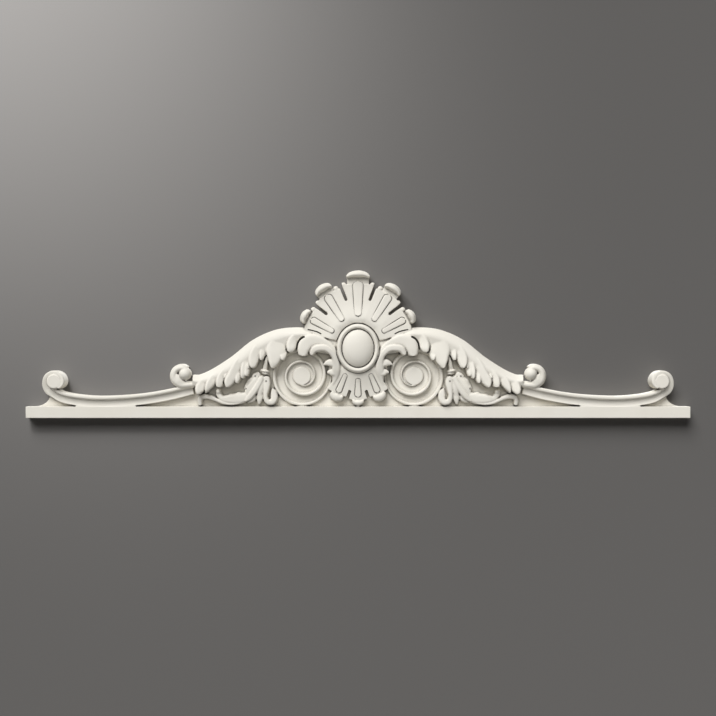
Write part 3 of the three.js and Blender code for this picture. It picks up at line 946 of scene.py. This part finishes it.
# Roller stipple is finer than 1 mm; it is drawn at 3 mm so that it can show at all.
STIPPLE_WIDTH = 3
PAINT_IOR = 1.5


def linear(hex_colour):
    channels = [int(hex_colour[i:i + 2], 16) / 255 for i in (1, 3, 5)]
    return [c / 12.92 if c <= 0.04045 else ((c + 0.055) / 1.055) ** 2.4 for c in channels] + [1.0]


def add(tree, kind, settings=(), inputs=(), links=()):
    """One node with its settings, its constant inputs and the sockets that feed it."""
    node = tree.nodes.new(kind)
    for name, value in dict(settings).items():
        setattr(node, name, value)
    for name, value in dict(inputs).items():
        node.inputs[name].default_value = value
    for name, socket in dict(links).items():
        tree.links.new(socket, node.inputs[name])
    return node


paint = bpy.data.materials.new("matte_off_white_paint")
paint.use_nodes = True
tree = paint.node_tree
shader = tree.nodes["Principled BSDF"]
shader.inputs["IOR"].default_value = PAINT_IOR
spot = add(tree, "ShaderNodeTexCoord").outputs["Object"]
tone = add(
    tree, "ShaderNodeTexNoise", {}, {"Scale": 1 / (TONE_WIDTH * MM), "Detail": 3.0}, {"Vector": spot},
)
stipple = add(
    tree, "ShaderNodeTexNoise", {}, {"Scale": 1 / (STIPPLE_WIDTH * MM), "Detail": 2.0}, {"Vector": spot},
)
print("the paint's patterns are", TONE_WIDTH, "and", STIPPLE_WIDTH, "mm wide")

# %% [markdown]
# Shade is painted into the hollows: a dark colour darkens the creases, grooves and joints, where shade
# falls.
# An ambient occlusion node finds them: it measures how much of the sky each point of the surface sees.
# The measure goes through a range, so that open surfaces keep the clean paint.

# %% Painted shade in the hollows
SHADE_REACH = 4
CLEAN_PAINT = "#EFEBE1"
THIN_PAINT = "#E6E1D5"
# The dark colour of the shade painted into the hollows.
SHADE_COLOUR = "#4A433B"

hollow = add(
    tree, "ShaderNodeAmbientOcclusion", {"samples": 8, "only_local": True}, {"Distance": SHADE_REACH * MM},
)
painted_shade = add(
    tree, "ShaderNodeMapRange", {"clamp": True},
    {"From Min": 0.5, "From Max": 0.95, "To Min": 1.0, "To Max": 0.0}, {"Value": hollow.outputs["AO"]},
)
coat = add(
    tree, "ShaderNodeMix", {"data_type": "RGBA"},
    {"A": linear(CLEAN_PAINT), "B": linear(THIN_PAINT)}, {"Factor": tone.outputs["Fac"]},
)
# Painted shade: the dark colour is mixed over the paint where the occlusion measure says shade falls.
shaded_coat = add(
    tree, "ShaderNodeMix", {"data_type": "RGBA"}, {"B": linear(SHADE_COLOUR)},
    {"Factor": painted_shade.outputs["Result"], "A": coat.outputs["Result"]},
)
tree.links.new(shaded_coat.outputs["Result"], shader.inputs["Base Color"])
print("dust reaches", SHADE_REACH, "mm into the hollows")

# %% [markdown]
# The stipple also changes how matte the paint is, and it raises the surface by a fraction of a
# millimetre. That is too fine to model, so it is a bump.

# %% Stipple
STIPPLE_HEIGHT = 0.3

matte = add(
    tree, "ShaderNodeMapRange", {}, {"To Min": 0.62, "To Max": 0.8}, {"Value": stipple.outputs["Fac"]},
)
bump = add(
    tree, "ShaderNodeBump", {}, {"Strength": 0.35, "Distance": STIPPLE_HEIGHT * MM},
    {"Height": stipple.outputs["Fac"]},
)
tree.links.new(matte.outputs["Result"], shader.inputs["Roughness"])
tree.links.new(bump.outputs["Normal"], shader.inputs["Normal"])
ornament.data.materials.append(paint)
print("painted with", paint.name, "of", len(tree.nodes), "nodes")

# %% [markdown]
# The stage is a plain grey sheet just behind the flat back, and a pale floor far below. The sheet catches
# the relief's shadows. Seen from behind it is see-through, and it casts no shadow, so the flat back of
# the casting can be looked at as well.

# %% Stage
FLOOR_BELOW = 3.0
FLOOR_HALF = 2.0
BACKDROP_GAP = 0.002
BACKDROP_HALF = 2.5
BACKDROP_MIDDLE = 0.4
SHEET_ROUGHNESS = 0.9
FLOOR_COLOUR = "#D8D6D2"
BACKDROP_COLOUR = "#686664"


def sheet(name, half_size, matrix, colour):
    flat_grid = bmesh.new()
    bmesh.ops.create_grid(flat_grid, x_segments=1, y_segments=1, size=half_size, matrix=matrix)
    finish = bpy.data.materials.new(name)
    finish.use_nodes = True
    finish.node_tree.nodes["Principled BSDF"].inputs["Base Color"].default_value = linear(colour)
    finish.node_tree.nodes["Principled BSDF"].inputs["Roughness"].default_value = SHEET_ROUGHNESS
    thing = placed(name, flat_grid)
    thing.data.materials.append(finish)
    return thing


sheet("pale_floor", FLOOR_HALF, Matrix.Translation((0, 0, -FLOOR_BELOW)), FLOOR_COLOUR)
behind_back = Matrix.Translation((0, WALL + BACKDROP_GAP, BACKDROP_MIDDLE))
facing = behind_back @ Matrix.Rotation(math.pi / 2, 4, "X")
backdrop = sheet("grey_backdrop", BACKDROP_HALF, facing, BACKDROP_COLOUR)
backdrop.visible_shadow = False
backdrop_tree = backdrop.data.materials[0].node_tree
side_seen = add(backdrop_tree, "ShaderNodeNewGeometry")
clear = add(backdrop_tree, "ShaderNodeBsdfTransparent")
one_sided = add(backdrop_tree, "ShaderNodeMixShader", {}, {}, {"Fac": side_seen.outputs["Backfacing"]})
backdrop_tree.links.new(backdrop_tree.nodes["Principled BSDF"].outputs["BSDF"], one_sided.inputs[1])
backdrop_tree.links.new(clear.outputs["BSDF"], one_sided.inputs[2])
surface = backdrop_tree.nodes["Material Output"].inputs["Surface"]
backdrop_tree.links.new(one_sided.outputs["Shader"], surface)
print("the backdrop stands", BACKDROP_GAP * 1000, "mm behind the casting")

# %% [markdown]
# The light is that of a high window on the left. It comes evenly from a wide patch of sky, so that the
# long rail is as bright at one end as at the other; a sun lamp with a wide angle does that. It models
# every swelling from above and leaves a soft shadow below and to the right. A lamp behind serves only the
# views of the back.

# %% Key light
WORLD_LIGHT = 0.09
KEY_ANGLE = 42

scene = bpy.context.scene
world = bpy.data.worlds.new("studio")
scene.world = world
world.use_nodes = True
world.node_tree.nodes["Background"].inputs["Color"].default_value = (1, 1, 1, 1)
world.node_tree.nodes["Background"].inputs["Strength"].default_value = WORLD_LIGHT


def lamp(name, kind, place, aim, power):
    light = bpy.data.lights.new(name, kind)
    light.energy = power
    thing = bpy.data.objects.new(name, light)
    thing.location = place
    thing.rotation_euler = (Vector(aim) - Vector(place)).to_track_quat("-Z", "Y").to_euler()
    scene.collection.objects.link(thing)
    return thing


key = lamp("key", "SUN", place=(-1.7, -4.0, 4.4), aim=(0, 0, 0), power=3.25)
key.data.angle = math.radians(KEY_ANGLE)
behind = lamp("behind", "AREA", place=(0.6, 3.0, 1.4), aim=(0, 0, 0.1), power=90)
behind.data.size = 2.0
print("the key light spreads over", KEY_ANGLE, "degrees")

# %% [markdown]
# Two weaker lamps each light one thing only. A wash brightens the sheet at the upper left, and a fill
# opens the casting's shadows. Light linking names what each lamp reaches.

# %% Wash and fill
WASH_CONE = 76

wash = lamp("wash", "SPOT", place=(-0.95, -1.1, 1.35), aim=(-0.72, 0, 0.9), power=145)
wash.data.spot_size = math.radians(WASH_CONE)
wash.data.spot_blend = 1.0
wash.data.shadow_soft_size = 0.2
fill = lamp("fill", "AREA", place=(0.3, -3.0, 0.5), aim=(0, 0, 0.1), power=10)
fill.data.size = 1.5
for light, lit in ((wash, backdrop), (fill, ornament)):
    receivers = bpy.data.collections.new("lit_by_" + light.name)
    receivers.objects.link(lit)
    light.light_linking.receiver_collection = receivers
print("there are", len(bpy.data.lights), "lamps")

# %% [markdown]
# The camera looks straight at the relief from a few metres away. One pixel of the view is 2 mm on the
# casting, so the lens follows from the distance and the width of the view.

# %% Camera
PIXEL = 2 * MM
FRAME_PIXELS = 716
CAMERA_DISTANCE = 2.7
VIEW_HEIGHT = 120.6
VIEW_DEPTH = 36
SENSOR = 36

camera = bpy.data.cameras.new("camera")
camera.sensor_width = SENSOR
camera.lens = SENSOR * CAMERA_DISTANCE / (FRAME_PIXELS * PIXEL)
camera_object = bpy.data.objects.new("camera", camera)
camera_object.location = upright(0, VIEW_HEIGHT, VIEW_DEPTH) - Vector((0, CAMERA_DISTANCE, 0))
camera_object.rotation_euler = (math.pi / 2, 0, 0)
scene.collection.objects.link(camera_object)
scene.camera = camera_object
scene.view_settings.view_transform = "Standard"
print("the lens is", round(camera.lens, 1), "mm")
